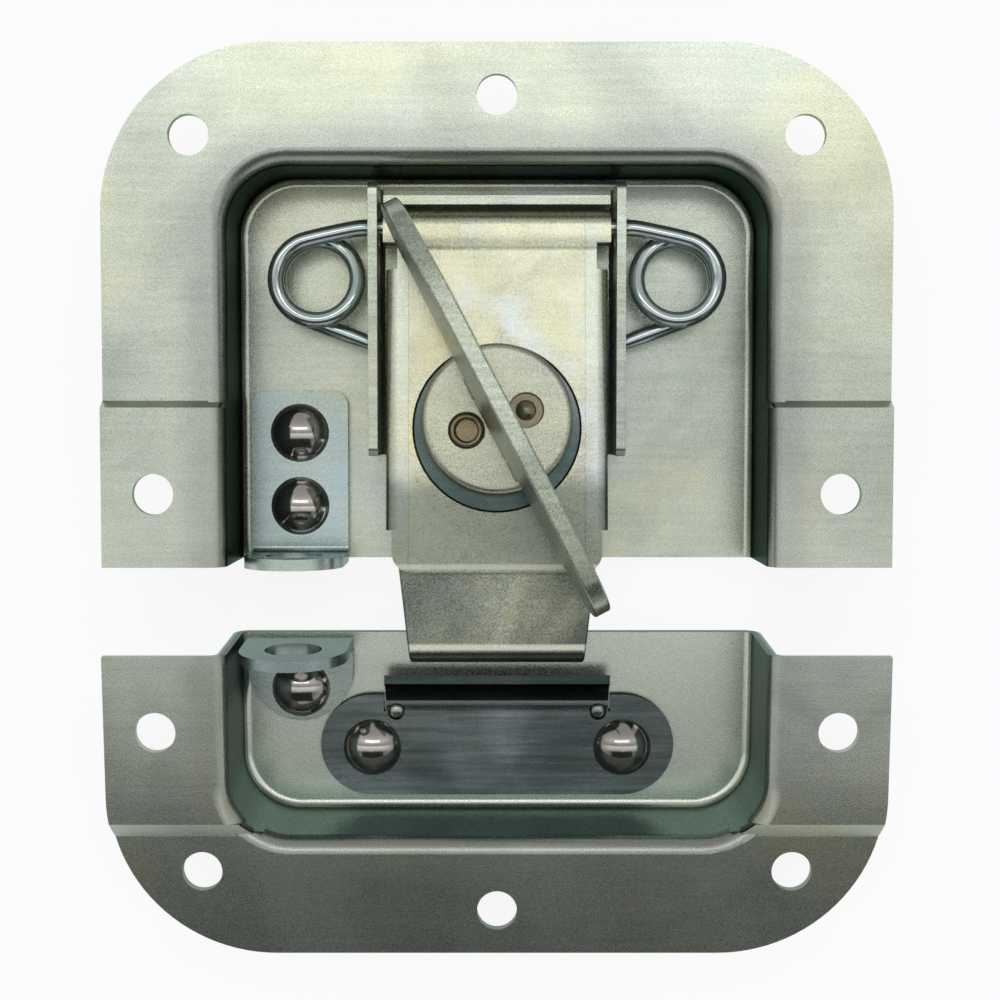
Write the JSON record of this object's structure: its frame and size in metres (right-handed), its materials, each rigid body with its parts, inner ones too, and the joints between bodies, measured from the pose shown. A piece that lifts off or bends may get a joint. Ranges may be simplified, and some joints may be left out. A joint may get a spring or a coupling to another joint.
{
  "type": "recessed butterfly case latch",
  "caption": "Recessed butterfly twist latch in a pressed dish with spring-loaded carrier, fold-up wing and sliding hook, with its keeper dish and padlock lugs.",
  "frame": {"origin": "middle of the latch dish's seam edge, in the plane of its flange's back face", "axes": "+X to the viewer's right along the seam, +Y up the latch half, +Z out of the case towards the viewer"},
  "size_m": [0.1022, 0.1194, 0.0345],
  "materials": {
    "zinc_dish": "zinc-plated pressed sheet",
    "zinc_bracket": "zinc-plated sheet",
    "spring_steel": "plated spring wire",
    "zinc_carrier": "zinc-plated sheet, warm tone",
    "zinc_guide": "zinc-plated sheet",
    "zinc_crank": "zinc-plated plate",
    "pin_steel": "plain pin",
    "zinc_hub": "zinc-plated, fine speckle",
    "bronzed_rivet": "worn rivet",
    "zinc_wing": "zinc-plated plate",
    "zinc_hook": "zinc-plated plate, rubbed",
    "zinc_lug": "zinc-plated, bluish",
    "dark_keeper": "grained dark plate",
    "bright_rivet": "bright domed head"
  },
  "bodies": {
    "latch": {"latch_dish": "zinc_dish", "hinge_bracket": "zinc_bracket", "spring": "spring_steel", "latch_lug": "zinc_lug", "latch_lug_rivet_upper": "bright_rivet", "latch_lug_rivet_lower": "bright_rivet"},
    "carrier": {"carrier_plate": "zinc_carrier", "slide_guide": "zinc_guide"},
    "hub": {"crank_plate": "zinc_crank", "crank_pin": "pin_steel", "hub_disc": "zinc_hub", "hub_rivet_tubular": "bronzed_rivet", "hub_rivet_solid": "bronzed_rivet", "wing_pin": "pin_steel"},
    "wing": {"wing_handle": "zinc_wing"},
    "hook": {"hook_plate": "zinc_hook"},
    "catch": {"catch_dish": "zinc_dish", "catch_lug": "zinc_lug", "catch_lug_rivet": "bright_rivet", "keeper_plate": "dark_keeper", "keeper_rivet_left": "bright_rivet", "keeper_rivet_right": "bright_rivet"}
  },
  "joints": [
    {"name": "carrier_swing", "type": "hinge", "parent": "latch", "child": "carrier", "pos_m": [0, 0.0447, -0.00673], "axis": [-1, 0, 0], "range_deg": [-4.2, 43]},
    {"name": "hub_turn", "type": "hinge", "parent": "carrier", "child": "hub", "pos_m": [0, 0.01805, -0.00235], "axis": [0, 0.0732, 0.9973], "range_deg": [-117.6, 62.6]},
    {"name": "wing_fold", "type": "hinge", "parent": "hub", "child": "wing", "pos_m": [0, 0.01829, 0.00094], "axis": [-0.4617, 0.8846, -0.065], "range_deg": [-93.5, 86.5]},
    {"name": "hook_slide", "type": "slide", "parent": "carrier", "child": "hook", "axis": [0, 0.9973, -0.0732], "range_m": [-0.00234, 0.00441]},
    {"name": "lid_swing", "type": "hinge", "parent": "latch", "child": "catch", "pos_m": [0, -0.0182, -0.1395], "axis": [1, 0, 0], "range_deg": [-4.5, 60]}
  ],
  "couplings": [
    {"joint": "hub_turn", "follows": "hook_slide", "rad_per_m": -465.19}
  ]
}
